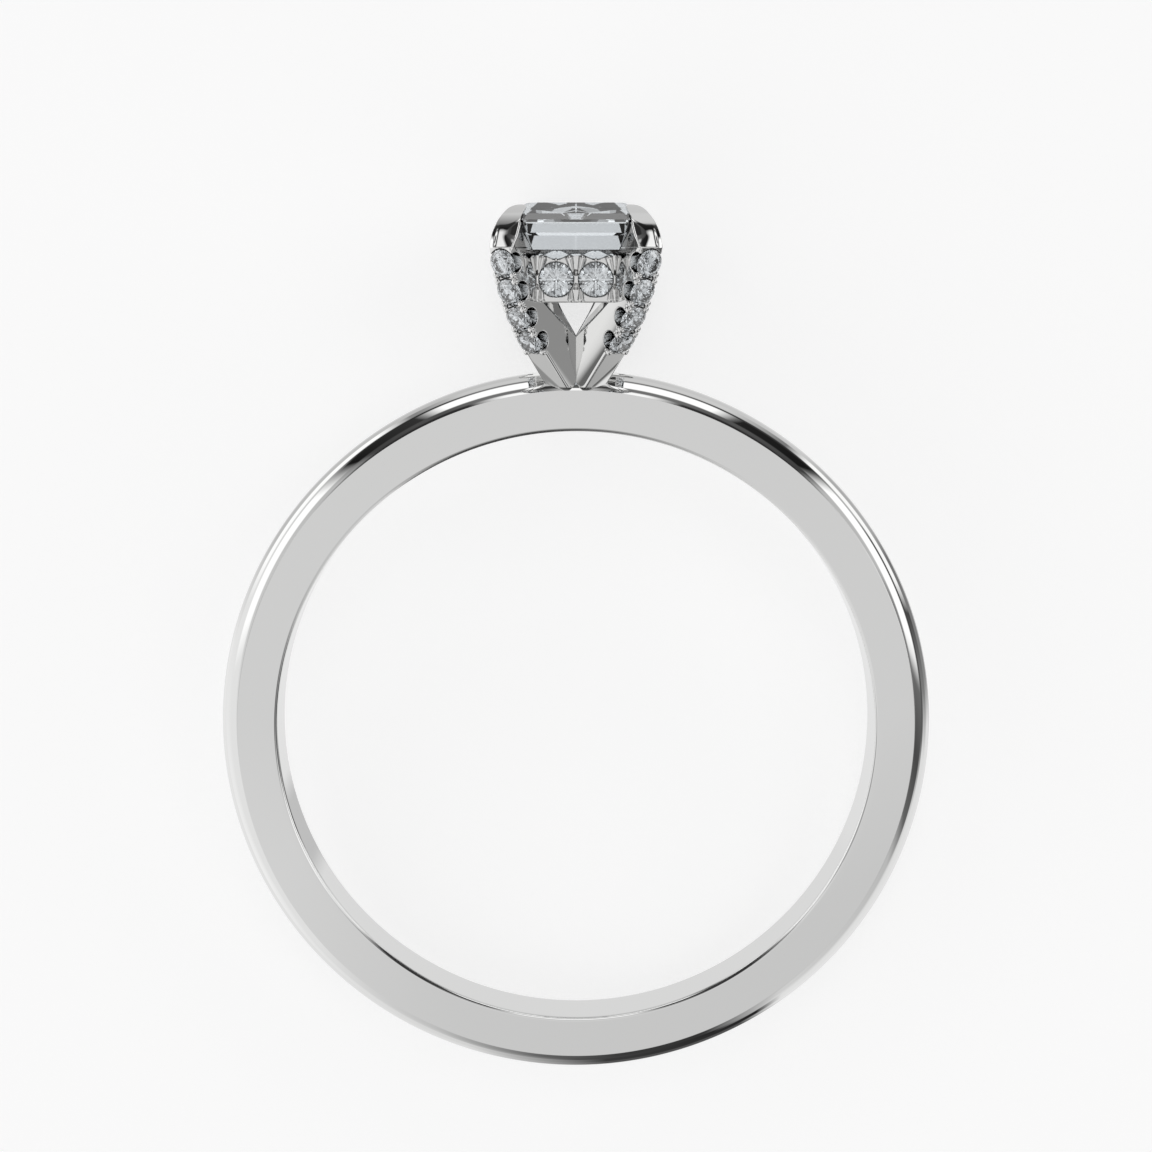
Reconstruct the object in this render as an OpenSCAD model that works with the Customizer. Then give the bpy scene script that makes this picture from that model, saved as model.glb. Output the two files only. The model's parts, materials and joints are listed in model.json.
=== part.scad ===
// Solitaire ring: a domed band and a four-prong head cast in one, with an emerald-cut centre stone,
// a hidden halo of round stones under it and a row of round stones down each prong.
// It lies on its side, on the far edge of the band and the shoulders of the two lower prongs.

/* [Band] */
// Inside diameter, which sets the finger size
finger_d = 16.5; // [15:0.1:20]
// Width of the band along the finger
band_w = 1.62; // [1.5:0.02:1.8]
// Height of each flat side, across its radius
side_h = 1.0; // [0.8:0.05:1.3]
// Rise of the domed outside above the flat sides
dome_h = 0.51; // [0.4:0.01:0.6]
// Rounding of the two inside edges
inside_round = 0.11; // [0.05:0.01:0.2]

/* [Centre stone] */
// Width across the finger
stone_w = 4.0; // [3.9:0.05:4.1]
// Length along the finger
stone_l = 5.6; // [5.5:0.05:5.7]
// Length that each cut corner takes off both sides
stone_cut = 0.65; // [0.6:0.01:0.7]
// Height of the girdle above the band's crown
girdle_up = 3.95; // [3.9:0.01:4]
// Thickness of the girdle
girdle_h = 0.1; // [0.08:0.01:0.12]
// Height of the crown above the girdle
crown_h = 0.46; // [0.44:0.01:0.48]
// Depth of the pavilion under the girdle
pavilion_h = 1.95; // [1.9:0.01:2]

/* [Prongs] */
// Angle between the finger's line and each prong, seen from above
prong_turn = 34; // [33:0.5:35]
// Thickness of the four plates that the prongs are cut from
prong_t = 0.75; // [0.72:0.01:0.8]
// Reach of the prong's shoulder from the head's middle line
shoulder_r = 3.52; // [3.48:0.01:3.55]
// Height of the shoulder above the band's crown
shoulder_up = 3.28; // [3.25:0.01:3.3]
// Outward lean of the face at the shoulder, from upright
shoulder_lean = 14; // [13:0.5:15]
// Radius of the outer face's long curve
belly_r = 5.7; // [5.6:0.05:5.8]
// Lean of the straight foot, from upright
foot_lean = 46; // [45:0.5:47]
// Thickness of the foot, square to its lean
foot_t = 1.27; // [1.2:0.01:1.3]

/* [Claws] */
// Radius of the claw's curve in over the stone's corner
claw_r = 1.35; // [1.32:0.01:1.38]
// Height of the claw's top above the stone's table
claw_over = 0.02; // [0.01:0.01:0.04]
// Radius of the claw's rounded back
claw_round = 0.43; // [0.4:0.01:0.46]
// Inward lean of the claw, from upright
claw_lean = 24; // [20:1:28]
// Distance of the claw's tip from the head's middle line
claw_tip_r = 2.34; // [2.3:0.01:2.4]

/* [Halo rail] */
// Drop of the rail's top below the girdle's middle
rail_drop = 0.84; // [0.82:0.01:0.88]
// Height of the rail
rail_h = 1.25; // [1.2:0.01:1.3]
// Inset of the rail's lower face from the stone's sides
rail_inset = 0.6; // [0.58:0.01:0.62]
// Thickness of the rail's lower wall
rail_wall = 0.45; // [0.42:0.01:0.48]
// How far the rail's lip stands out over its lower face
lip_out = 0.25; // [0.2:0.01:0.27]
// Height of the upright part of the lip
lip_h = 0.18; // [0.15:0.01:0.22]

/* [Small stones] */
// Diameter of the stones down the prongs
pave_d = 0.76; // [0.72:0.01:0.77]
// Distance between neighbours on a prong
pave_pitch = 0.81; // [0.8:0.01:0.82]
// Place of the first stone on the curve, in degrees below the level of the curve's middle
pave_first = 18.3; // [18:0.1:18.6]
// Stones on each prong
pave_n = 4; // [4]
// Diameter of the stones at the rail's two ends
halo_end_d = 0.9; // [0.86:0.01:0.92]
// Distance between neighbours at the rail's ends
halo_end_pitch = 1.04; // [1.02:0.01:1.06]
// Stones at each end
halo_end_n = 2; // [2]
// Diameter of the stones along the rail's two sides
halo_side_d = 0.82; // [0.78:0.01:0.84]
// Distance between neighbours along the sides
halo_side_pitch = 0.89; // [0.88:0.01:0.9]
// Stones along each side
halo_side_n = 3; // [3]

/* [Setting details] */
// Space left between a stone and the metal
stone_gap = 0.015; // [0.01:0.001:0.018]
// Radius of the round scoop cut through the prong behind each stone
scoop_r = 0.27; // [0.24:0.01:0.28]
// Depth of the scoop's middle under the prong's face
scoop_deep = 0.12; // [0.1:0.01:0.14]
// Radius of the beads between the prong's stones
bead_r = 0.11; // [0.1:0.005:0.12]
// How far the beads' middles stand in from the prong's sides
bead_in = 0.13; // [0.12:0.005:0.14]
// Width of the small square posts round the halo stones
post_w = 0.15; // [0.13:0.01:0.17]
// Distance of a post from its stone's middle, as a share of the stone's diameter
post_share = 0.4; // [0.38:0.01:0.42]

/* [Hidden] */
$fn = 96;

metal_colour = [0.84, 0.84, 0.85];
stone_colour = [0.80, 0.88, 0.95];

// The ring's own frame has its origin at the finger's middle, the finger along Y and the head up Z.
finger_r = finger_d / 2;
side_out_r = finger_r + inside_round + side_h;
crown_r = side_out_r + dome_h;
dome_arc_r = (pow(band_w / 2, 2) + pow(dome_h, 2)) / (2 * dome_h);
dome_mid_r = crown_r - dome_arc_r;

// Centre stone: each row is a height over the girdle's middle, an inset from the outline, a corner cut
girdle_z = crown_r + girdle_up;
girdle_top = girdle_h / 2;
table_up = girdle_top + crown_h;
stone_rows = [
    [table_up, 0.72, 0.28],
    [girdle_top + 0.65 * crown_h, 0.38, 0.46],
    [girdle_top + 0.35 * crown_h, 0.16, 0.58],
    [girdle_top, 0, stone_cut],
    [-girdle_top, 0, stone_cut],
    [-girdle_top - 0.12 * pavilion_h, 0.13, 0.6],
    [-girdle_top - 0.34 * pavilion_h, 0.45, 0.42],
    [-girdle_top - pavilion_h, stone_w / 2 - 0.02, 0.01],
];

// Round stones: each size is a share of the diameter
table_share = 0.57;
crown_share = 0.15;
star_share = 0.74;
girdle_share = 0.03;
lower_share = 0.2;
pavilion_share = 0.43;

// Prong outline, in its own upright plane: the outer face is one arc round the belly's middle
shoulder_z = crown_r + shoulder_up;
belly_mid = [shoulder_r - belly_r * cos(shoulder_lean), shoulder_z + belly_r * sin(shoulder_lean)];
foot_z = side_out_r - 0.15;
foot_trim_z = side_out_r + 0.08;
foot_in = 0.04;
foot_reach = 5;
prong_angles = [90 - prong_turn, 90 + prong_turn, 270 - prong_turn, 270 + prong_turn];
pave_step = pave_pitch / belly_r * 180 / PI;
pave_angles = [for (i = [0:pave_n - 1]) pave_first + i * pave_step];
bead_angles = [for (i = [0:pave_n - 2]) pave_first + (i + 0.5) * pave_step];
bead_side = prong_t / 2 - bead_in;

// The claw's outer curve passes through the shoulder and tops out just over the table
claw_top_z = girdle_z + table_up + claw_over;
claw_mid_z = claw_top_z - claw_r;
claw_mid_r = shoulder_r - sqrt(pow(claw_r, 2) - pow(shoulder_z - claw_mid_z, 2));
claw_root_r = shoulder_r - 0.42;
claw_lap = 0.05;

// Rail: straight bars whose ends run into the prongs
rail_top_z = girdle_z - rail_drop;
rail_foot_z = rail_top_z - rail_h;
halo_z = rail_foot_z + 0.48 * rail_h;
end_face = stone_l / 2 - rail_inset;
side_face = stone_w / 2 - rail_inset;
end_bar_half = 1.3;
side_bar_half = 1.9;
halo_hole_share = 0.28;
post_in = 0.04;

// Rows of the halo: the turn that faces it outward, its face, its count, pitch and stone
row_back = [0, end_face, halo_end_n, halo_end_pitch, halo_end_d];
row_front = [180, end_face, halo_end_n, halo_end_pitch, halo_end_d];
row_left = [90, side_face, halo_side_n, halo_side_pitch, halo_side_d];
row_right = [270, side_face, halo_side_n, halo_side_pitch, halo_side_d];

// Resting pose: the band's far edge and the lower prongs' shoulders touch the surface
shoulder_y = shoulder_r * cos(prong_turn) + prong_t / 2 * sin(prong_turn);
rest_tilt = atan((shoulder_y - band_w / 2) / (shoulder_z + side_out_r));
rest_up = shoulder_y * cos(rest_tilt) - shoulder_z * sin(rest_tilt);
far_end = -dome_mid_r * cos(rest_tilt) - dome_arc_r;
head_slope = norm([cos(prong_turn) * sin(rest_tilt), cos(rest_tilt)]);
near_end = claw_mid_r * cos(prong_turn) * sin(rest_tilt) + claw_mid_z * cos(rest_tilt)
    + claw_r * head_slope;

function octagon(half_w, half_l, cut) = [
    [half_w, half_l - cut],
    [half_w - cut, half_l],
    [-half_w + cut, half_l],
    [-half_w, half_l - cut],
    [-half_w, -half_l + cut],
    [-half_w + cut, -half_l],
    [half_w - cut, -half_l],
    [half_w, -half_l + cut],
];

function circle_points(r, z, n, start) = [
    for (i = [0:n - 1]) [r * cos(start + i * 360 / n), r * sin(start + i * 360 / n), z]
];

// Lays the ring down on its side, front face up, with the middle of its base at the origin
module at_rest() {
    translate([0, -(far_end + near_end) / 2, rest_up])
        rotate([rest_tilt - 90, 0, 0])
            children();
}

// Turns an outline of reach and height into a plate that stands on the head's middle line
module prong_plate(thickness) {
    rotate([90, 0, 0]) linear_extrude(thickness, center = true) children();
}

// Puts a child on the prong's outer face, with its own Z outward and Y across the prong
module on_prong_face(angle) {
    translate([belly_mid[0], 0, belly_mid[1]]) rotate([0, angle, 0])
        translate([belly_r, 0, 0]) rotate([0, 90, 0]) children();
}

// Puts a child at one stone's place on a row of the halo, with its own Z outward
module on_rail(row, i) {
    rotate([0, 0, row[0]])
        translate([(i - (row[2] + 1) / 2) * row[3], row[1], halo_z])
            rotate([-90, 0, 0]) children();
}

// Step-cut stone round the middle of its girdle; grow makes the space that it needs
module step_cut_stone(grow = 0) {
    last = len(stone_rows) - 1;
    points = [
        for (row = stone_rows)
            for (p = octagon(stone_w / 2 - row[1] + grow, stone_l / 2 - row[1] + grow, row[2]))
                [p[0], p[1], row[0] + (row[0] > 0 ? grow : -grow)]
    ];
    sides = [
        for (k = [0:last - 1], i = [0:7])
            let (j = (i + 1) % 8)
                [8 * k + i, 8 * k + j, 8 * k + 8 + j, 8 * k + 8 + i]
    ];
    polyhedron(points, concat([[7, 6, 5, 4, 3, 2, 1, 0]], sides, [[for (i = [0:7]) 8 * last + i]]));
}

// Round brilliant with 57 facets, round the middle of its girdle with its table up
module brilliant(d) {
    r = d / 2;
    table_r = table_share * r;
    crown = crown_share * d;
    half_girdle = girdle_share * d / 2;
    star_r = star_share * r;
    star_z = crown * (1 - (star_r * cos(22.5) - table_r) / (r - table_r));
    lower_r = lower_share * r;
    pavilion = pavilion_share * d;
    lower_z = pavilion * (1 - lower_r * cos(22.5) / r);
    table = 0;
    star = 8;
    upper = 16;
    under = 32;
    lower = 48;
    culet = 56;
    points = concat(
        circle_points(table_r, half_girdle + crown, 8, 0),
        circle_points(star_r, half_girdle + star_z, 8, 22.5),
        circle_points(r, half_girdle, 16, 0),
        circle_points(r, -half_girdle, 16, 0),
        circle_points(lower_r, -half_girdle - lower_z, 8, 22.5),
        [[0, 0, -half_girdle - pavilion]]
    );
    faces = concat(
        [[7, 6, 5, 4, 3, 2, 1, 0]],
        [for (i = [0:7]) [table + i, table + (i + 1) % 8, star + i]],
        [for (i = [0:7]) [table + i, star + i, upper + 2 * i, star + (i + 7) % 8]],
        [for (i = [0:7]) [star + i, upper + 2 * i + 1, upper + 2 * i]],
        [for (i = [0:7]) [star + i, upper + (2 * i + 2) % 16, upper + 2 * i + 1]],
        [for (i = [0:15]) [upper + i, upper + (i + 1) % 16, under + (i + 1) % 16, under + i]],
        [for (i = [0:7]) [lower + i, under + 2 * i, under + 2 * i + 1]],
        [for (i = [0:7]) [lower + i, under + 2 * i + 1, under + (2 * i + 2) % 16]],
        [for (i = [0:7]) [under + 2 * i, lower + i, culet, lower + (i + 7) % 8]]
    );
    polyhedron(points, faces);
}

// The space drilled for a round stone: a straight wall round the girdle and a cone under it
module seat(d) {
    wall_r = d / 2 + stone_gap;
    ledge = girdle_share * d / 2 + stone_gap;
    cone_h = 2 * pavilion_share * wall_r + stone_gap;
    rotate_extrude() polygon([[0, -ledge - cone_h], [wall_r, -ledge], [wall_r, d], [0, d]]);
}

module band() {
    rotate([90, 0, 0]) rotate_extrude() difference() {
        union() {
            translate([finger_r, -band_w / 2]) square([side_out_r - finger_r, band_w]);
            intersection() {
                translate([dome_mid_r, 0]) circle(r = dome_arc_r);
                translate([side_out_r - side_h / 4, -band_w / 2]) square([side_h, band_w]);
            }
        }
        for (s = [-1, 1])
            translate([finger_r, s * band_w / 2]) difference() {
                square(2 * inside_round, center = true);
                translate([inside_round, -s * inside_round]) circle(r = inside_round);
            }
    }
}

// A leaning foot and a long curved outer face, up to the shoulder
module prong_outline() {
    intersection() {
        union() {
            difference() {
                translate(belly_mid) circle(r = belly_r);
                translate(belly_mid) circle(r = belly_r - foot_t);
                translate(belly_mid) rotate(-foot_lean) translate([0, -2 * belly_r])
                    square([2 * belly_r, 2 * belly_r]);
            }
            translate(belly_mid) rotate(-foot_lean) translate([belly_r - foot_t, -foot_reach])
                square([foot_t, foot_reach + 0.01]);
        }
        translate([0, foot_z]) square([shoulder_r + 1, shoulder_z - foot_z]);
    }
}

// A claw that bends in over the stone's corner, with a rounded back and a round tip
module claw() {
    tip_r = prong_t / 2;
    intersection() {
        prong_plate(prong_t) intersection() {
            translate([claw_mid_r, claw_mid_z]) circle(r = claw_r);
            translate([claw_tip_r, shoulder_z - claw_lap]) square([2 * claw_r, 2 * claw_r]);
        }
        translate([claw_root_r, 0, shoulder_z - 2 * claw_lap]) rotate([0, -claw_lean, 0])
            translate([0, 0, -claw_r]) cylinder(r = claw_round, h = 3 * claw_r);
        union() {
            translate([claw_tip_r + tip_r, 0, shoulder_z - claw_r]) cylinder(r = tip_r, h = 3 * claw_r);
            translate([claw_tip_r + tip_r, -prong_t, shoulder_z - claw_r])
                cube([2 * claw_r, 2 * prong_t, 3 * claw_r]);
        }
    }
}

module prong() {
    difference() {
        union() {
            prong_plate(prong_t) prong_outline();
            claw();
            for (a = bead_angles, s = [-1, 1])
                on_prong_face(a) translate([0, s * bead_side, 0]) sphere(r = bead_r);
        }
        for (a = pave_angles) {
            on_prong_face(a) seat(pave_d);
            on_prong_face(a) translate([0, 0, -scoop_deep]) rotate([90, 0, 0])
                cylinder(r = scoop_r, h = 2 * prong_t, center = true);
        }
    }
}

// The four prongs, with their feet kept inside the band's width
module prongs() {
    difference() {
        for (a = prong_angles) rotate([0, 0, a]) prong();
        for (s = [0, 180])
            rotate([0, 0, s]) translate([-shoulder_r, band_w / 2 - foot_in, foot_z - 1])
                cube([2 * shoulder_r, shoulder_r, foot_trim_z - foot_z + 1]);
    }
}

// One straight bar of the rail, facing along Y
module rail_bar(face, half_length) {
    lip_foot = rail_top_z - lip_h - lip_out;
    rotate([90, 0, 90]) linear_extrude(2 * half_length, center = true) polygon([
        [face - rail_wall, rail_foot_z],
        [face, rail_foot_z],
        [face, lip_foot],
        [face + lip_out, lip_foot + lip_out],
        [face + lip_out, rail_top_z],
        [face - rail_wall, rail_top_z],
    ]);
}

// Four upright posts at the corners of a halo stone's place
module halo_posts(d) {
    side = post_share * d;
    upper_h = rail_top_z - halo_z - d / 4;
    lower_h = halo_z - rail_foot_z - d / 4;
    for (x = [-side, side])
        translate([x - post_w / 2, 0, -post_w / 2]) {
            translate([0, halo_z - rail_top_z + post_in, 0]) cube([post_w, upper_h - post_in, post_w]);
            translate([0, d / 4, 0]) cube([post_w, lower_h - post_in, post_w]);
        }
}

module halo_rail() {
    difference() {
        union() {
            for (turn = [0, 180]) rotate([0, 0, turn]) rail_bar(end_face, end_bar_half);
            for (turn = [90, 270]) rotate([0, 0, turn]) rail_bar(side_face, side_bar_half);
            for (row = [row_back, row_front, row_left, row_right], i = [1:row[2]])
                on_rail(row, i) halo_posts(row[4]);
        }
        for (row = [row_back, row_front, row_left, row_right], i = [1:row[2]])
            on_rail(row, i) {
                seat(row[4]);
                translate([0, 0, -2 * rail_wall]) cylinder(r = halo_hole_share * row[4], h = 2 * rail_wall);
            }
    }
}

module band_and_setting() {
    color(metal_colour) at_rest() {
        band();
        difference() {
            union() {
                prongs();
                halo_rail();
            }
            translate([0, 0, girdle_z]) step_cut_stone(grow = stone_gap);
        }
    }
}

module centre_stone() {
    color(stone_colour) at_rest() translate([0, 0, girdle_z]) step_cut_stone();
}

module halo_stone(row, i) {
    color(stone_colour) at_rest() on_rail(row, i) brilliant(row[4]);
}

module prong_stone(p, i) {
    color(stone_colour) at_rest() rotate([0, 0, prong_angles[p - 1]])
        on_prong_face(pave_angles[i - 1]) brilliant(pave_d);
}

band_and_setting();
centre_stone();
for (i = [1:halo_end_n]) {
    halo_stone(row_front, i);
    halo_stone(row_back, i);
}
for (i = [1:halo_side_n]) {
    halo_stone(row_left, i);
    halo_stone(row_right, i);
}
for (p = [1:4], i = [1:pave_n])
    prong_stone(p, i);
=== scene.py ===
"""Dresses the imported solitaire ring: polished metal, cut stones, a pale floor and soft studio light."""
import json
import math

import bpy
import numpy as np
from mathutils import Matrix, Vector


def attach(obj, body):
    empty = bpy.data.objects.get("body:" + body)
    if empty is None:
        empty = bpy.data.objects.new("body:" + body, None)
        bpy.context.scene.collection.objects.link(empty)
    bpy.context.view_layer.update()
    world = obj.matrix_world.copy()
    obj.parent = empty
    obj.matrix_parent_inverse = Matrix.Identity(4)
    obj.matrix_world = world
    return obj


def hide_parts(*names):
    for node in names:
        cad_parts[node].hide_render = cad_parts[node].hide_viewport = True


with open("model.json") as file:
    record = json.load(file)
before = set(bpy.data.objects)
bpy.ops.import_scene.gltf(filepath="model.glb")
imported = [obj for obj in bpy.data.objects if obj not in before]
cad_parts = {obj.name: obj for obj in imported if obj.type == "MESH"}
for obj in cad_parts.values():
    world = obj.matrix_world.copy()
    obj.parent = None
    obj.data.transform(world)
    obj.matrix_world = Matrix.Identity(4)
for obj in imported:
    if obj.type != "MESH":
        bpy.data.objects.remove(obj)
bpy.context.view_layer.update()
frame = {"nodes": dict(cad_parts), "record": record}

MM = 0.001

# Band, in mm
FINGER_R = 8.25
SIDE_OUT_R = 9.36
CROWN_R = 9.87
BAND_W = 1.62
INSIDE_ROUND = 0.11
CREASE_ROUND = 0.03

# Steps round the band, and across its inner rounding, its flats, its creases and its dome
BAND_STEPS = 512
ROUND_STEPS = 10
FLAT_STEPS = 6
CREASE_STEPS = 5
DOME_STEPS = 40

# Centre stone, in mm
STONE_W = 4.0
STONE_L = 5.6
GIRDLE_Z = 13.82
STONE_GAP = 0.015
STONE_ROWS = (
    # height over the girdle's middle, inset from the outline, length taken off each corner
    (-2.0, 1.98, 0.01),
    (-0.713, 0.45, 0.42),
    (-0.284, 0.13, 0.6),
    (-0.05, 0.0, 0.65),
    (0.05, 0.0, 0.65),
    (0.211, 0.16, 0.58),
    (0.349, 0.38, 0.46),
    (0.51, 0.72, 0.28),
)

# Prongs, in mm and degrees
PRONG_TURN = 34.0
PRONG_THICK = 0.75
SHOULDER_R = 3.52
SHOULDER_Z = 13.15
BELLY_R = 5.7
BELLY_MID = (-2.0107, 14.529)
FOOT_LEAN = 46.0
FOOT_THICK = 1.27
FOOT_Z = 9.21
FOOT_TRIM_Z = 9.44
FOOT_IN = 0.04
FLANK_CROWN = 0.03

# Claws, in mm and degrees: their outline bends over the stone in a rounded square of the power CLAW_BEND
CLAW_R = 1.31
CLAW_RISE = 1.17
CLAW_MID = (2.21, 13.15)
CLAW_BEND = 1.62
CLAW_FOOT_Z = 13.0
# The front's lean, the facet that turns away beside it, and the heights where the facet grows
CLAW_LEAN = 22.0
CLAW_START_Z = 13.1
CLAW_FACET = 25.0
CLAW_FACET_Y = 0.16
CLAW_SWELL = (13.1, 13.5)
# Width of the rib, and roundings of the keel, of the crease beside the rib and of the outer edges
CLAW_RIB = 0.14
CLAW_KEEL = 0.09
CLAW_CREASE = 0.08
CLAW_RIDGE = 0.03
# The tip: heights where the claw narrows to CLAW_TIP_HALF, and its round end from shares of CLAW_RISE up
CLAW_WAIST = (13.7, 14.32)
CLAW_TIP_HALF = 0.08
CLAW_TIP_L = 0.35
CLAW_TIP_R = 2.34
CLAW_TIP_SHARES = (1 / 3, 2 / 3)

# Small stones on the prongs, in mm and degrees
PAVE_D = 0.76
PAVE_FIRST = 18.3
PAVE_STEP = 8.142
PAVE_COUNT = 4
PAVE_ANGLES = tuple(PAVE_FIRST + i * PAVE_STEP for i in range(PAVE_COUNT))
SCOOP_R = 0.26
SCOOP_DEEP = 0.1
BEAD_R = 0.1
BEAD_SIDE = 0.265
BEAD_ALONG = 0.385

# Halo rail, in mm
RAIL_TOP_Z = 12.98
RAIL_FOOT_Z = 11.73
HALO_Z = 12.33
END_FACE = 2.2
SIDE_FACE = 1.4
END_BAR_HALF = 1.3
SIDE_BAR_HALF = 1.9
RAIL_WALL = 0.45
POST_R = 0.1
POST_LOW_R = 0.045
POST_AT = 0.385
POST_SPREAD = 0.09
LOW_POST_L = 0.34
LOW_POST_AT = 0.43
LOW_POST_R = 0.085
DIP_H = 0.11
DIP_W = 0.3
NOTCH_R = 0.16
NOTCH_OUT = 0.06
TICK_R = 0.03
PIT_R = 0.07
PIT_SHARE = 0.2
HOLE_SHARE = 0.28
# Diameter, pitch and number of the stones in a bar
END_STONES = (0.9, 1.04, 2)
SIDE_STONES = (0.82, 0.89, 3)

# Shares of a round stone's diameter
GIRDLE_SHARE = 0.03
PAVILION_SHARE = 0.43
CROWN_SHARE = 0.14

# Roundings, in mm
EDGE = 0.04
FOOT_EDGE = 0.07
CUT_EDGE = 0.02

# Painted shade in recesses, in mm: distances at which the space over a point is tried, and how proud a point
# is always clear of it
RECESS_REACHES = (0.04, 0.1, 0.2, 0.3)
PROUD = 0.06

# Grids of the prong and the rail, in mm: steps, and the room left beyond the low and the high sides
PRONG_STEP = 0.022
PRONG_ROOM = ((0.0, 0.08, 0.05), (0.15, 0.08, 0.06))
RAIL_STEP = 0.025
RAIL_ROOM = 0.06
# Moves that settle the grid's points on the surface, and the least square of a slope that they reckon with
SETTLE_MOVES = 3
LEAST_STEEP = 0.2

# Light: rings of soft boxes and dark flags, each from one elevation up to the next, with stops of azimuth and
# brightness. Angles are in degrees, the azimuth anticlockwise from +X as seen from above.
RINGS = (
    (-90, (
        (8, 0.6), (14, 0.82), (172, 0.82), (180, 0.85), (342, 0.85), (350, 0.6),
    )),
    (-57, (
        (20, 0.2), (26, 0.5), (38, 0.5), (44, 0.72), (156, 0.6), (176, 0.98), (255, 0.85), (274, 0.1),
        (294, 0.1), (300, 0.93), (350, 0.9), (358, 0.3),
    )),
    (-30, (
        (10, 0.07), (16, 1.2), (42, 1.2), (48, 0.2), (60, 0.75), (112, 0.72), (122, 0.25), (129, 1.25),
        (160, 1.25), (168, 0.95), (215, 1.05), (255, 0.8), (274, 0.05), (297, 0.02), (301, 0.93), (345, 0.9),
        (356, 0.25),
    )),
    (-10, (
        (24, 0.03), (29, 0.5), (35, 0.5), (40, 0.03), (62, 0.06), (72, 0.22), (108, 0.22), (116, 0.03),
        (136, 0.04), (144, 0.7), (170, 0.95), (220, 1.0), (250, 0.7), (270, 0.08), (290, 0.02), (300, 0.85),
        (335, 0.8), (348, 0.12),
    )),
    (-2, (
        (0, 1.0), (4, 1.3), (34, 1.3), (40, 0.01), (57, 0.02), (62, 1.3), (117, 1.3), (122, 0.04),
        (138, 0.01), (147, 1.3), (173, 1.3), (182, 0.95), (230, 0.93), (250, 0.65), (265, 0.15), (276, 0.05),
        (288, 0.04), (300, 0.78), (325, 0.6), (332, 0.15), (342, 0.08), (355, 0.18),
    )),
    (24, (
        (0, 0.25), (8, 0.3), (14, 0.6), (32, 0.6), (38, 0.06), (60, 0.12), (70, 0.2), (110, 0.2),
        (118, 0.1), (136, 0.06), (146, 0.6), (190, 0.8), (248, 0.75), (262, 0.3), (275, 0.06), (290, 0.3),
        (300, 0.75), (328, 0.6), (345, 0.14),
    )),
    (37, (
        (6, 1.2), (26, 0.8), (32, 0.03), (66, 0.03), (74, 1.2), (106, 1.2), (114, 0.03), (150, 0.03),
        (158, 0.6), (164, 0.9), (172, 0.4), (205, 0.4), (212, 0.88), (250, 0.8), (265, 0.4), (285, 0.4),
        (295, 0.65), (308, 0.6), (322, 0.18), (336, 0.2), (344, 0.95), (352, 1.2),
    )),
    (61, (
        (0, 1.1), (8, 0.8), (14, 0.3), (22, 0.06), (40, 0.06), (52, 0.5), (62, 0.72), (114, 0.75),
        (126, 0.4), (136, 0.06), (152, 0.06), (160, 0.8), (170, 1.15), (188, 1.1), (194, 0.45), (206, 0.45),
        (214, 0.85), (250, 0.8), (262, 0.72), (298, 0.7), (304, 0.2), (316, 0.18), (330, 0.7), (345, 1.1),
    )),
    (69, (
        (30, 0.1), (45, 0.35), (60, 0.6), (120, 0.6), (140, 0.12), (178, 0.12), (188, 0.78), (340, 0.76),
        (348, 0.1),
    )),
    (80, (
        (0, 0.77), (180, 0.77),
    )),
)

# Half the height over which one ring turns into the next, in degrees, and the brightness of a ramp's white
RING_SOFT = 2.0
RAMP_TOP = 1.5

# Floor and backdrop, in metres and degrees
STAGE_R = 1.0
STAGE_STEPS = 64
BACKDROP_STEP = 8
STAGE_ROUGHNESS = 0.9
FLOOR_GREY = 0.5
FLOOR_GLOW = 0.66
BACKDROP_GLOW = 0.94

# Metal: near-black painted shade in recesses, the openness where it starts and ends, and the polish with its
# patches
METAL_COLOUR = (0.79, 0.79, 0.785)
# Near-black colour that paints shade into recesses
METAL_PAINTED_SHADE = (0.03, 0.03, 0.03)
PAINTED_SHADE_RANGE = (0.25, 0.65)
POLISH_SCALE = 900
POLISH_DETAIL = 3
POLISH_ROUGHNESS = (0.01, 0.05)

# Stones
STONE_COLOUR = (0.92, 0.965, 1.0)
STONE_IOR = 2.417

# Camera, fitted to the photo: mm, degrees, and focal length in pixels of the photo
VIEW_DISTANCE = 60.0
VIEW_RISE = 7.66
LOOK_Z = 4.19
FOCAL_PIXELS = 2163.0
IMAGE_PIXELS = 1152
SENSOR_MM = 36.0
NEAREST_SEEN = 0.001


def ring_axes():
    """The ring's own frame in the row: finger's middle, X across, Y along the finger, Z to the head."""
    bore = frame["record"]["mounts"][0]
    x = Vector((1, 0, 0))
    y = -Vector(bore["axis"]).normalized()
    z = x.cross(y)
    turn = Matrix((x, y, z)).transposed().to_4x4()
    return Matrix.Translation(Vector(bore["pos_m"])) @ turn @ Matrix.Scale(MM, 4)


TO_ROW = ring_axes()


def smooth_max(a, b, blend):
    """The larger of two distances, with the edge between them rounded."""
    near = np.clip(blend - np.abs(a - b), 0, None) / blend
    return np.maximum(a, b) + near * near * blend / 4


def smooth_min(a, b, blend):
    """The smaller of two distances, with the corner between them rounded."""
    return -smooth_max(-a, -b, blend)


def stone_distance(x, y, z):
    """Distance outside the centre stone, from its outline at each height."""
    up = z - GIRDLE_Z
    heights, insets, cuts = zip(*STONE_ROWS)
    inset = np.interp(up, heights, insets)
    cut = np.interp(up, heights, cuts)
    half_w = STONE_W / 2 - inset
    half_l = STONE_L / 2 - inset
    ax, ay = np.abs(x), np.abs(y)
    corner = (ax + ay - (half_w + half_l - cut)) / math.sqrt(2)
    sides = np.maximum(np.maximum(ax - half_w, ay - half_l), corner)
    return np.maximum(sides, np.maximum(up - heights[-1], heights[0] - up))


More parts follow.
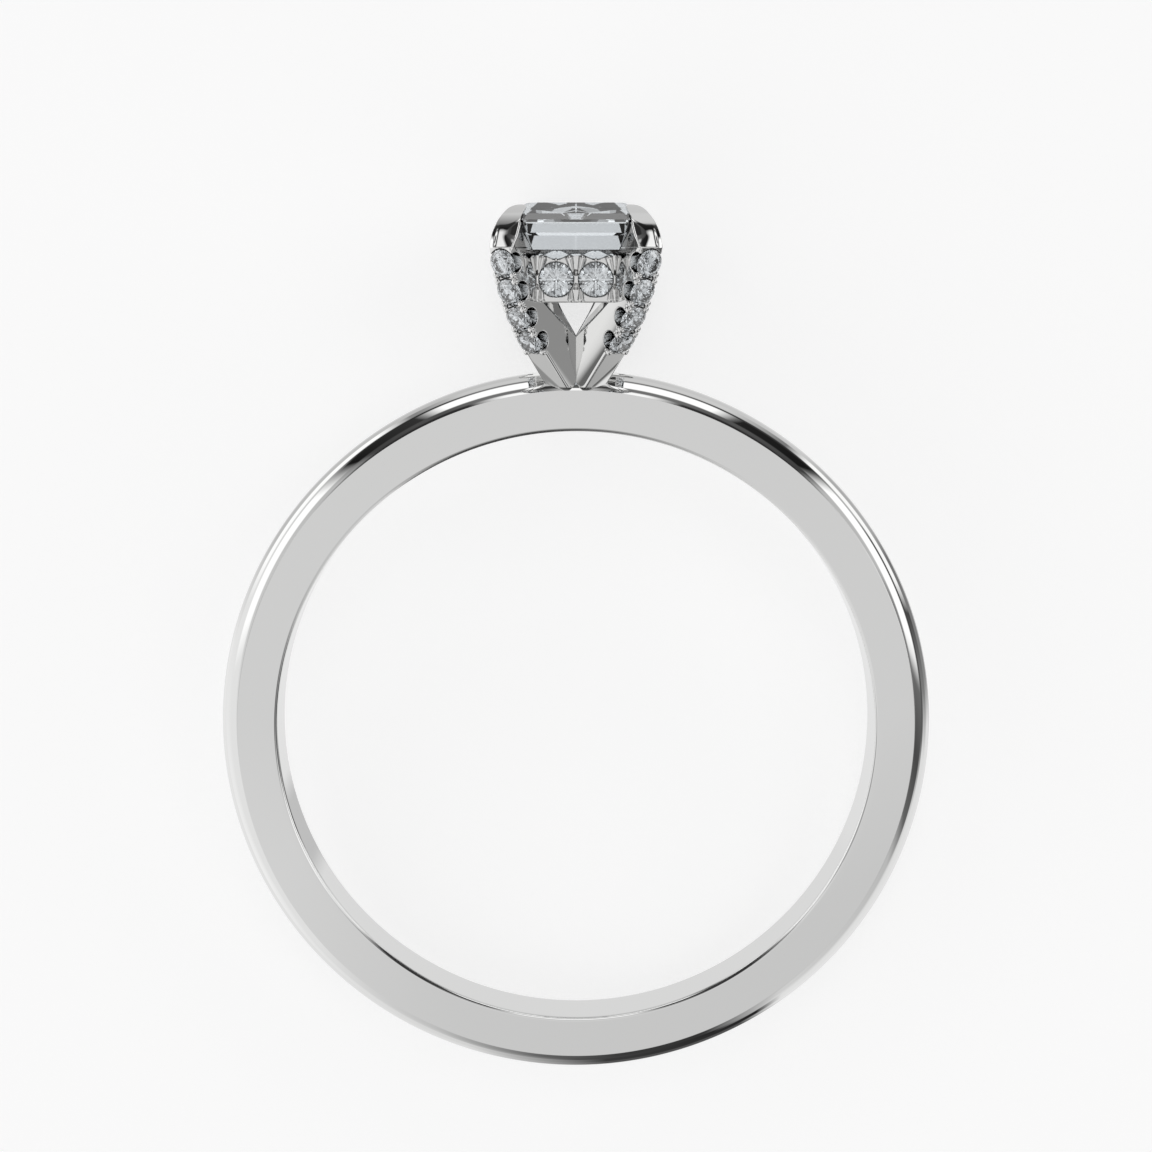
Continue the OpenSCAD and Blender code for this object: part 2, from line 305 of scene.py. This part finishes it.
def seat_distance(radial, out, diameter):
    """Distance outside the space drilled for a round stone, out being the height over its girdle."""
    wall = diameter / 2 + STONE_GAP
    ledge = GIRDLE_SHARE * diameter / 2 + STONE_GAP
    depth = 2 * PAVILION_SHARE * wall
    lean = math.atan2(wall, depth)
    cone = (radial - wall) * math.cos(lean) - (out + ledge) * math.sin(lean)
    return np.maximum(radial - wall, cone)


def round_stone_distance(radial, out, diameter):
    """Distance outside a round stone, out being the height over its girdle."""
    return np.maximum(seat_distance(radial, out, diameter) + STONE_GAP, out - CROWN_SHARE * diameter)


def on_face(r, z, angle):
    """Height over the prong's outer face, and distance along it from one place."""
    a = math.radians(angle)
    dr = r - BELLY_MID[0] - BELLY_R * math.cos(a)
    dz = z - BELLY_MID[1] + BELLY_R * math.sin(a)
    out = dr * math.cos(a) - dz * math.sin(a)
    along = -dr * math.sin(a) - dz * math.cos(a)
    return out, along


def plate_reach(r, z):
    """Distance from the belly's middle: straight lines over the foot, circles above it."""
    lean = math.radians(FOOT_LEAN)
    dr, dz = r - BELLY_MID[0], z - BELLY_MID[1]
    straight = dr * math.cos(lean) - dz * math.sin(lean)
    below = -dr * math.sin(lean) - dz * math.cos(lean)
    return np.where(below > 0, straight, np.hypot(dr, dz))


def half_thickness(reach):
    """Half the plate's thickness, which thins a little towards its outer face."""
    share = np.clip((BELLY_R - reach) / FOOT_THICK, 0, 1)
    return PRONG_THICK / 2 - FLANK_CROWN * np.clip(1 - 2 * share, 0, None) ** 2


def plate_distance(r, y, z):
    """The prong's plate: a long curved face over a straight leaning foot, up to the shoulder."""
    reach = plate_reach(r, z)
    side = np.abs(y) - half_thickness(reach)
    field = smooth_max(reach - BELLY_R, side, FOOT_EDGE)
    field = smooth_max(field, BELLY_R - FOOT_THICK - reach, EDGE)
    return np.maximum(field, np.maximum(z - SHOULDER_Z, FOOT_Z - z))


def eased(value, start, end):
    """A share that goes smoothly from nothing at the start to one at the end."""
    share = np.clip((value - start) / (end - start), 0, 1)
    return share * share * (3 - 2 * share)


def claw_distance(r, y, z):
    """The claw: a narrow rib, a front that leans back and turns a keel, an outline bent over the stone."""
    across = (np.abs(r - CLAW_MID[0]) / CLAW_R) ** CLAW_BEND
    rise = (np.maximum(z - CLAW_MID[1], 0) / CLAW_RISE) ** CLAW_BEND
    outline = ((across + rise) ** (1 / CLAW_BEND) - 1) * CLAW_RISE
    reach = plate_reach(r, z)
    outline = np.where(z < CLAW_MID[1], np.maximum(outline, reach - BELLY_R), outline)
    plate = half_thickness(reach)
    waist = np.clip((z - CLAW_WAIST[0]) / (CLAW_WAIST[1] - CLAW_WAIST[0]), 0, 1)
    half = plate - waist**2 * (plate - CLAW_TIP_HALF)
    lean = math.radians(CLAW_LEAN)
    front = (r - SHOULDER_R) * math.cos(lean) + (z - CLAW_START_Z) * math.sin(lean)
    turn = math.radians(CLAW_FACET)
    keel = plate - eased(z, *CLAW_SWELL) * (plate - CLAW_FACET_Y)
    facet = front * math.cos(turn) + (y - keel) * math.sin(turn)
    rib = y + plate - CLAW_RIB
    field = smooth_min(smooth_max(front, facet, CLAW_KEEL), rib, CLAW_CREASE)
    field = smooth_max(field, y - half, CLAW_RIDGE)
    field = smooth_max(field, -y - plate, CLAW_RIDGE)
    middle, broad = (half - plate) / 2, (half + plate) / 2
    past = np.minimum(r - CLAW_TIP_R - CLAW_TIP_L, 0) / CLAW_TIP_L * broad
    low_tip = 1 - eased(z, *(CLAW_MID[1] + CLAW_RISE * share for share in CLAW_TIP_SHARES))
    tip = np.hypot(past, y - middle) - broad - low_tip
    field = smooth_max(smooth_max(field, outline, CLAW_RIDGE), tip, CLAW_RIDGE)
    return np.maximum(field, CLAW_FOOT_Z - z)


def head_place(r, y):
    """X and Y in the ring's own frame of a place in a prong's frame."""
    turn = math.radians(90 - PRONG_TURN)
    return r * math.cos(turn) - y * math.sin(turn), r * math.sin(turn) + y * math.cos(turn)


def prong_distance(r, y, z):
    """One whole prong in its own frame: r from the head's middle line, y across, z up."""
    field = smooth_min(plate_distance(r, y, z), claw_distance(r, y, z), CUT_EDGE)
    for angle in PAVE_ANGLES:
        out, along = on_face(r, z, angle)
        field = smooth_max(field, -seat_distance(np.hypot(along, y), out, PAVE_D), CUT_EDGE)
        scoop = np.hypot(along, out + SCOOP_DEEP) - SCOOP_R
        field = smooth_max(field, -scoop, CUT_EDGE)
    bead_places = [angle + side * PAVE_STEP for angle in PAVE_ANGLES for side in (-BEAD_ALONG, BEAD_ALONG)]
    # The claw stands where the first beads would be
    for angle in bead_places[1:]:
        out, along = on_face(r, z, angle)
        bead = np.sqrt(along**2 + out**2 + (np.abs(y) - BEAD_SIDE) ** 2) - BEAD_R
        field = smooth_min(field, bead, CUT_EDGE)
    x_head, y_head = head_place(r, y)
    field = smooth_max(field, STONE_GAP - stone_distance(x_head, y_head, z), CUT_EDGE)
    past_side = np.minimum(FOOT_TRIM_Z - z, np.abs(y_head) - (BAND_W / 2 - FOOT_IN))
    return smooth_max(field, past_side, CUT_EDGE)


def prong_cover(r, y, z):
    """Distance outside a prong and the stones it holds."""
    field = np.minimum(prong_distance(r, y, z), stone_distance(*head_place(r, y), z))
    for angle in PAVE_ANGLES:
        out, along = on_face(r, z, angle)
        field = np.minimum(field, round_stone_distance(np.hypot(along, y), out, PAVE_D))
    return field


def rod_distance(points, ends, radii):
    """Distance outside a round-ended rod that tapers between its ends, in two directions and out."""
    (a0, b0), (a1, b1) = ends
    a, b, out = points
    run = (a1 - a0, b1 - b0)
    share = ((a - a0) * run[0] + (b - b0) * run[1]) / (run[0] ** 2 + run[1] ** 2)
    share = np.clip(share, 0, 1)
    gap = np.sqrt((a - a0 - share * run[0]) ** 2 + (b - b0 - share * run[1]) ** 2 + out**2)
    return gap - (radii[0] + share * (radii[1] - radii[0]))


def bar_distance(face, half, out, side, z, stones):
    """One kind of rail bar with its posts: out is measured from the head's middle, side along it."""
    diameter, pitch, count = stones
    places = [(i - (count - 1) / 2) * pitch for i in range(count)]
    dips = [np.clip(1 - ((side - p) / DIP_W) ** 2, 0, None) for p in places]
    top = RAIL_TOP_Z - DIP_H * sum(dips)
    proud = out - face
    field = smooth_max(proud, z - top, EDGE)
    field = smooth_max(field, RAIL_FOOT_Z - z, EDGE)
    field = smooth_max(field, -RAIL_WALL - proud, EDGE)
    field = np.maximum(field, np.abs(side) - half)
    for p in places:
        notch = np.sqrt((side - p) ** 2 + (z - RAIL_TOP_Z) ** 2 + (proud - NOTCH_OUT) ** 2) - NOTCH_R
        field = smooth_max(field, -notch, CUT_EDGE)
        girdle_z = HALO_Z + diameter / 2
        tick = rod_distance((side, z, proud), ((p, RAIL_TOP_Z - DIP_H), (p, girdle_z)), (TICK_R, TICK_R))
        field = smooth_min(field, tick, CUT_EDGE)
        for s in (-1, 1):
            for up in (-1, 1):
                pit_z = HALO_Z + up * PIT_SHARE * diameter
                pit = np.sqrt((side - p - s * pitch / 2) ** 2 + (z - pit_z) ** 2 + proud**2) - PIT_R
                field = smooth_max(field, -pit, CUT_EDGE)
            high = (p + s * POST_AT * diameter, RAIL_TOP_Z - POST_R)
            low = (high[0] + s * POST_SPREAD, HALO_Z + PIT_SHARE * diameter)
            post = rod_distance((side, z, proud), (high, low), (POST_R, POST_LOW_R))
            field = smooth_min(field, post, CUT_EDGE)
            foot = (p + s * LOW_POST_AT * diameter, RAIL_FOOT_Z + LOW_POST_R)
            end = (foot[0], RAIL_FOOT_Z + LOW_POST_L)
            post = rod_distance((side, z, proud), (foot, end), (LOW_POST_R, POST_LOW_R))
            field = smooth_min(field, post, CUT_EDGE)
    for p in places:
        radial = np.hypot(side - p, z - HALO_Z)
        field = smooth_max(field, -seat_distance(radial, proud, diameter), CUT_EDGE)
        hole = np.maximum(radial - HOLE_SHARE * diameter, proud)
        field = smooth_max(field, -hole, CUT_EDGE)
    return field


def rail_distance(x, y, z):
    """The whole rail, with room for the centre stone."""
    ends = bar_distance(END_FACE, END_BAR_HALF, np.abs(y), x, z, END_STONES)
    sides = bar_distance(SIDE_FACE, SIDE_BAR_HALF, np.abs(x), y, z, SIDE_STONES)
    field = np.minimum(ends, sides)
    return np.maximum(field, STONE_GAP - stone_distance(x, y, z))


def rail_cover(x, y, z):
    """Distance outside the rail and the centre stone."""
    return np.minimum(rail_distance(x, y, z), stone_distance(x, y, z))


def openness(cover, points, normals, proud):
    """How open a point is to the space over it: 1 on faces and proud details, 0 deep in a recess. The metal's
    colour turns this into painted shade.
    """
    clear = [np.clip(cover(*(points + reach * normals).T) / reach, 0, 1) for reach in RECESS_REACHES]
    # Proud details are always kept free of the painted shade
    return np.maximum(np.mean(clear, axis=0), eased(proud, 0, PROUD))


def slopes(distance, points, reach):
    """Which way the distance grows at each point."""
    grow = np.empty_like(points)
    for axis in range(3):
        move = np.zeros(3)
        move[axis] = reach
        grow[:, axis] = distance(*(points + move).T) - distance(*(points - move).T)
    return grow / (2 * reach)


def surface_net(distance, low, high, step):
    """Points, normals and four-cornered faces of the surface where the distance is nothing."""
    axes = [np.arange(a, b + step, step) for a, b in zip(low, high)]
    value = distance(*np.meshgrid(*axes, indexing="ij"))
    size = np.array(value.shape)
    cells = tuple(size - 1)
    inside = value < 0
    total = np.zeros((int(np.prod(cells)), 3))
    count = np.zeros(len(total))
    crossings = []
    for axis in range(3):
        first = [slice(None)] * 3
        second = [slice(None)] * 3
        first[axis], second[axis] = slice(0, -1), slice(1, None)
        a, b = value[tuple(first)], value[tuple(second)]
        start = np.argwhere(inside[tuple(first)] != inside[tuple(second)])
        va, vb = a[tuple(start.T)], b[tuple(start.T)]
        point = start.astype(float)
        point[:, axis] += va / (va - vb)
        u, v = (axis + 1) % 3, (axis + 2) % 3
        ring = []
        keep = np.ones(len(start), bool)
        for du, dv in ((1, 1), (0, 1), (0, 0), (1, 0)):
            cell = start.copy()
            cell[:, u] -= du
            cell[:, v] -= dv
            keep &= (cell >= 0).all(1) & (cell < np.array(cells)).all(1)
            ring.append(cell)
        ring = [np.ravel_multi_index(cell[keep].T, cells) for cell in ring]
        for cell in ring:
            np.add.at(total, cell, point[keep])
            np.add.at(count, cell, 1)
        quads = np.stack(ring, 1)
        outward = va[keep] < 0
        crossings.append(np.where(outward[:, None], quads, quads[:, ::-1]))
    used = np.flatnonzero(count)
    number = np.full(len(total), -1)
    number[used] = np.arange(len(used))
    points = total[used] / count[used, None] * step + np.array(low)
    for _ in range(SETTLE_MOVES):
        grow = slopes(distance, points, step / 8)
        steep = np.clip((grow**2).sum(1), LEAST_STEEP, None)
        move = -distance(*points.T) / steep
        points += np.clip(move, -step / 2, step / 2)[:, None] * grow
    normals = slopes(distance, points, step / 4)
    normals /= np.linalg.norm(normals, axis=1)[:, None] + 1e-9
    return points, normals, number[np.concatenate(crossings)]


def turned(points, angle, mirror):
    """Points turned about the head's middle line, and then mirrored in X where asked."""
    a = math.radians(angle)
    turn = np.array([[math.cos(a), -math.sin(a), 0], [math.sin(a), math.cos(a), 0], [0, 0, 1]])
    moved = points @ turn.T
    if mirror:
        moved[:, 0] *= -1
    return moved


def metal_piece(name, points, faces, normals, clear):
    """A polished piece of the cast metal, in the ring's own frame, that stands for the CAD solid."""
    matrix = np.array(TO_ROW)
    mesh = bpy.data.meshes.new(name)
    mesh.from_pydata((points @ matrix[:3, :3].T + matrix[:3, 3]).tolist(), [], faces.tolist())
    mesh.validate()
    mesh.shade_smooth()
    mesh.normals_split_custom_set_from_vertices((normals @ (matrix[:3, :3].T / MM)).tolist())
    # The 'open' attribute carries painted shade: where it is low, the metal's colour goes near black
    shade = mesh.color_attributes.new("open", "FLOAT_COLOR", "POINT")
    shade.data.foreach_set("color", np.repeat(clear[:, None], 4, 1).astype(np.float32).ravel())
    mesh.materials.append(METAL)
    obj = bpy.data.objects.new(name, mesh)
    bpy.context.scene.collection.objects.link(obj)
    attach(obj, "root")
    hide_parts("band_and_setting")


def arc(mid, radius, start, end, steps):
    """Points on an arc, without its last one."""
    angles = np.radians(np.linspace(start, end, steps, endpoint=False))
    return [(mid[0] + radius * math.cos(a), mid[1] + radius * math.sin(a)) for a in angles]


def band_profile():
    """Section of the band: reach from the finger's middle and place along the finger, anticlockwise."""
    half = BAND_W / 2
    dome_h = CROWN_R - SIDE_OUT_R
    dome_r = (half**2 + dome_h**2) / (2 * dome_h)
    dome_mid = CROWN_R - dome_r
    crease_y = half - CREASE_ROUND
    crease_r = dome_mid + math.sqrt((dome_r - CREASE_ROUND) ** 2 - crease_y**2)
    dome_end = math.degrees(math.atan2(crease_y, crease_r - dome_mid))
    inner = FINGER_R + INSIDE_ROUND
    round_y = half - INSIDE_ROUND
    points = arc((inner, -round_y), INSIDE_ROUND, 180, 270, ROUND_STEPS)
    points += [(r, -half) for r in np.linspace(inner, crease_r, FLAT_STEPS, endpoint=False)]
    points += arc((crease_r, -crease_y), CREASE_ROUND, -90, -dome_end, CREASE_STEPS)
    points += arc((dome_mid, 0), dome_r, -dome_end, dome_end, DOME_STEPS)
    points += arc((crease_r, crease_y), CREASE_ROUND, dome_end, 90, CREASE_STEPS)
    points += [(r, half) for r in np.linspace(crease_r, inner, FLAT_STEPS, endpoint=False)]
    points += arc((inner, round_y), INSIDE_ROUND, 90, 180, ROUND_STEPS)
    points += [(FINGER_R, y) for y in np.linspace(round_y, -round_y, FLAT_STEPS)[:-1]]
    return np.array(points)


def build_band():
    """The band: its profile swept round the finger, with the profile's own normals."""
    profile = band_profile()
    n = len(profile)
    turns = np.linspace(0, 2 * math.pi, BAND_STEPS, endpoint=False)
    reach, along = profile[:, 0], profile[:, 1]
    x = np.cos(turns)[:, None] * reach
    z = np.sin(turns)[:, None] * reach
    y = np.broadcast_to(along, x.shape)
    points = np.stack([x, y, z], -1).reshape(-1, 3)
    step = np.roll(profile, -1, 0) - np.roll(profile, 1, 0)
    flat = np.stack([step[:, 1], -step[:, 0]], 1)
    flat /= np.linalg.norm(flat, axis=1)[:, None]
    nx = np.cos(turns)[:, None] * flat[:, 0]
    nz = np.sin(turns)[:, None] * flat[:, 0]
    ny = np.broadcast_to(flat[:, 1], nx.shape)
    normals = np.stack([nx, ny, nz], -1).reshape(-1, 3)
    i, j = np.meshgrid(np.arange(BAND_STEPS), np.arange(n), indexing="ij")
    i2, j2 = (i + 1) % BAND_STEPS, (j + 1) % n
    faces = np.stack([i * n + j, i2 * n + j, i2 * n + j2, i * n + j2], -1).reshape(-1, 4)
    # The band is open everywhere, so no shade is painted on it
    metal_piece("band", points, faces[:, ::-1], normals, np.ones(len(points)))


def build_prongs():
    """One prong's mesh, turned and mirrored to the four corners of the centre stone."""
    low = np.array((0.0, -PRONG_THICK / 2, FOOT_Z)) - PRONG_ROOM[0]
    high = np.array((SHOULDER_R, PRONG_THICK / 2, CLAW_MID[1] + CLAW_RISE)) + PRONG_ROOM[1]
    points, normals, faces = surface_net(prong_distance, low, high, PRONG_STEP)
    # Openness of each point, which the metal's colour turns into painted shade in recesses
    clear = openness(prong_cover, points, normals, plate_reach(points[:, 0], points[:, 2]) - BELLY_R)
    for number, (angle, mirror) in enumerate(((0, False), (0, True), (180, False), (180, True)), 1):
        turn = 90 - PRONG_TURN + angle
        metal_piece(
            f"prong_{number}",
            turned(points, turn, mirror),
            faces[:, ::-1] if mirror else faces,
            turned(normals, turn, mirror),
            clear,
        )


def build_rail():
    """The rail's mesh, whose posts stand proud of its four faces."""
    reach = (SIDE_BAR_HALF + RAIL_ROOM, END_FACE + POST_R + RAIL_ROOM)
    low = (-reach[0], -reach[1], RAIL_FOOT_Z - RAIL_ROOM)
    high = (reach[0], reach[1], RAIL_TOP_Z + RAIL_ROOM)
    points, normals, faces = surface_net(rail_distance, low, high, RAIL_STEP)
    # How proud and how open each point is, which the metal's colour turns into painted shade in recesses
    proud = np.maximum(np.abs(points[:, 0]) - SIDE_FACE, np.abs(points[:, 1]) - END_FACE)
    metal_piece("halo_rail", points, faces, normals, openness(rail_cover, points, normals, proud))


def new_material(name):
    """A node material with its nodes, links and shader."""
    material = bpy.data.materials.new(name)
    material.use_nodes = True
    nodes = material.node_tree.nodes
    return material, nodes, material.node_tree.links, nodes["Principled BSDF"]


def metal_material():
    """Polished white gold: nearly a mirror, with shade painted into its colour, near black in recesses, from
    the 'open' attribute.
    """
    material, nodes, links, shader = new_material("white_gold")
    shader.inputs["Metallic"].default_value = 1
    shade_mask = nodes.new("ShaderNodeVertexColor")
    shade_mask.layer_name = "open"
    # Painted shade: the colour goes from near black in recesses to the metal's own colour where open
    painted_shade = nodes.new("ShaderNodeValToRGB")
    for element, position, colour in zip(painted_shade.color_ramp.elements, PAINTED_SHADE_RANGE, (METAL_PAINTED_SHADE, METAL_COLOUR)):
        element.position = position
        element.color = colour + (1,)
    links.new(shade_mask.outputs["Color"], painted_shade.inputs["Fac"])
    links.new(painted_shade.outputs["Color"], shader.inputs["Base Color"])
    where = nodes.new("ShaderNodeTexCoord")
    noise = nodes.new("ShaderNodeTexNoise")
    noise.inputs["Scale"].default_value = POLISH_SCALE
    noise.inputs["Detail"].default_value = POLISH_DETAIL
    links.new(where.outputs["Object"], noise.inputs["Vector"])
    spread = nodes.new("ShaderNodeMapRange")
    spread.inputs["To Min"].default_value = POLISH_ROUGHNESS[0]
    spread.inputs["To Max"].default_value = POLISH_ROUGHNESS[1]
    links.new(noise.outputs["Fac"], spread.inputs["Value"])
    links.new(spread.outputs["Result"], shader.inputs["Roughness"])
    return material


def stone_material():
    """Clear cut stone with a high index, so that it throws the light back from its facets."""
    material, _, _, shader = new_material("diamond")
    shader.inputs["Base Color"].default_value = STONE_COLOUR + (1,)
    shader.inputs["Roughness"].default_value = 0
    shader.inputs["IOR"].default_value = STONE_IOR
    shader.inputs["Transmission Weight"].default_value = 1
    return material


def dress_stones():
    """Gives every stone of the CAD frame the stones' material."""
    for name, obj in frame["nodes"].items():
        if name != "band_and_setting":
            obj.data.materials.clear()
            obj.data.materials.append(STONE)


def stage_piece(name, rings, grey, glow):
    """A round piece of the stage from rings of radius and height, closed at the last. Nothing mirrors it."""
    turns = [2 * math.pi * i / STAGE_STEPS for i in range(STAGE_STEPS)]
    points = [(r * math.cos(a), r * math.sin(a), h) for r, h in rings for a in turns]
    faces = [tuple((len(rings) - 1) * STAGE_STEPS + i for i in range(STAGE_STEPS))]
    for k in range(len(rings) - 1):
        for i in range(STAGE_STEPS):
            j = (i + 1) % STAGE_STEPS
            low, high = k * STAGE_STEPS, (k + 1) * STAGE_STEPS
            faces.append((low + i, low + j, high + j, high + i))
    mesh = bpy.data.meshes.new(name)
    mesh.from_pydata(points, [], faces)
    material, _, _, shader = new_material(name)
    shader.inputs["Base Color"].default_value = (grey,) * 3 + (1,)
    shader.inputs["Roughness"].default_value = STAGE_ROUGHNESS
    shader.inputs["Specular IOR Level"].default_value = 0
    shader.inputs["Emission Color"].default_value = (1, 1, 1, 1)
    shader.inputs["Emission Strength"].default_value = glow
    mesh.materials.append(material)
    piece = bpy.data.objects.new(name, mesh)
    bpy.context.scene.collection.objects.link(piece)
    # The metal and the stones mirror the studio's panels below the horizon too, instead of the stage
    piece.visible_glossy = False
    piece.visible_transmission = False
    return piece


def studio_stage():
    """A round floor under a pale dome that gives no light and casts no shadow."""
    stage_piece("floor", ((STAGE_R, 0),), FLOOR_GREY, FLOOR_GLOW)
    rises = [math.radians(rise) for rise in range(0, 90, BACKDROP_STEP)]
    dome = [(STAGE_R * math.cos(rise), STAGE_R * math.sin(rise)) for rise in rises]
    backdrop = stage_piece("backdrop", dome, 0.0, BACKDROP_GLOW)
    backdrop.visible_diffuse = False
    backdrop.visible_shadow = False


def grey_ramp(nodes, stops, top=1.0):
    """A ramp of greys from (position, value) stops, each value a share of top."""
    ramp = nodes.new("ShaderNodeValToRGB")
    elements = ramp.color_ramp.elements
    while len(elements) < len(stops):
        elements.new(0.5)
    for element, (position, value) in zip(elements, stops):
        element.position = position
        element.color = (value / top,) * 3 + (1,)
    return ramp


def ring_stops(stops):
    """A ring's stops as shares of a turn, closed where the last one meets the first."""
    first, last = stops[0], stops[-1]
    if first[0] == 0:
        return [(azimuth / 360, value) for azimuth, value in stops] + [(1, first[1])]
    share = (360 - last[0]) / (360 - last[0] + first[0])
    seam = last[1] + share * (first[1] - last[1])
    return [(0, seam)] + [(azimuth / 360, value) for azimuth, value in stops] + [(1, seam)]


def maths(nodes, links, operation, *inputs):
    """A Math node on sockets or plain values."""
    node = nodes.new("ShaderNodeMath")
    node.operation = operation
    for socket, value in zip(node.inputs, inputs):
        if isinstance(value, (int, float)):
            socket.default_value = value
        else:
            links.new(value, socket)
    return node.outputs[0]


def blended(nodes, links, share, first, second):
    """A Mix node from the first colour to the second one."""
    node = nodes.new("ShaderNodeMix")
    node.data_type = "RGBA"
    colours = [socket for socket in node.inputs if socket.type == "RGBA"]
    links.new(share, node.inputs[0])
    links.new(first, colours[0])
    links.new(second, colours[1])
    return [socket for socket in node.outputs if socket.type == "RGBA"][0]


def studio_world():
    """Soft boxes and dark flags in rings under an even ceiling, which the metal and the stones mirror."""
    world = bpy.data.worlds.new("studio")
    bpy.context.scene.world = world
    world.use_nodes = True
    nodes, links = world.node_tree.nodes, world.node_tree.links
    where = nodes.new("ShaderNodeTexCoord")
    split = nodes.new("ShaderNodeSeparateXYZ")
    links.new(where.outputs["Generated"], split.inputs["Vector"])
    azimuth = maths(nodes, links, "ARCTAN2", split.outputs["Y"], split.outputs["X"])
    turn = maths(nodes, links, "WRAP", maths(nodes, links, "DIVIDE", azimuth, 2 * math.pi), 1, 0)
    height = maths(nodes, links, "MULTIPLY_ADD", split.outputs["Z"], 0.5, 0.5)
    light = None
    for start, stops in RINGS:
        ring = grey_ramp(nodes, ring_stops(stops), RAMP_TOP)
        links.new(turn, ring.inputs["Fac"])
        if light is None:
            light = ring.outputs["Color"]
            continue
        edges = [0.5 + math.sin(math.radians(start + soft)) / 2 for soft in (-RING_SOFT, RING_SOFT)]
        share = grey_ramp(nodes, ((edges[0], 0), (edges[1], 1)))
        links.new(height, share.inputs["Fac"])
        light = blended(nodes, links, share.outputs["Color"], light, ring.outputs["Color"])
    links.new(light, nodes["Background"].inputs["Color"])
    nodes["Background"].inputs["Strength"].default_value = RAMP_TOP


def studio_camera():
    """The camera at the photo's angle to the ring, which lies with its front side up."""
    rise = math.radians(VIEW_RISE)
    place = Vector((0, -VIEW_DISTANCE * math.cos(rise), LOOK_Z + VIEW_DISTANCE * math.sin(rise)))
    forward = Vector((0, math.cos(rise), -math.sin(rise)))
    up = Vector((0, math.sin(rise), math.cos(rise)))
    turn = TO_ROW.to_3x3().normalized()
    forward, up = turn @ forward, turn @ up
    right = forward.cross(up)
    data = bpy.data.cameras.new("camera")
    data.sensor_width = SENSOR_MM
    data.lens = SENSOR_MM * FOCAL_PIXELS / IMAGE_PIXELS
    data.clip_start = NEAREST_SEEN
    camera = bpy.data.objects.new("camera", data)
    aim = Matrix((right, up, -forward)).transposed().to_4x4()
    camera.matrix_world = Matrix.Translation(TO_ROW @ place) @ aim
    bpy.context.scene.collection.objects.link(camera)
    bpy.context.scene.camera = camera


bpy.context.scene.view_settings.view_transform = "Standard"
studio_camera()
METAL = metal_material()
STONE = stone_material()
build_band()
build_prongs()
build_rail()
dress_stones()
studio_stage()
studio_world()
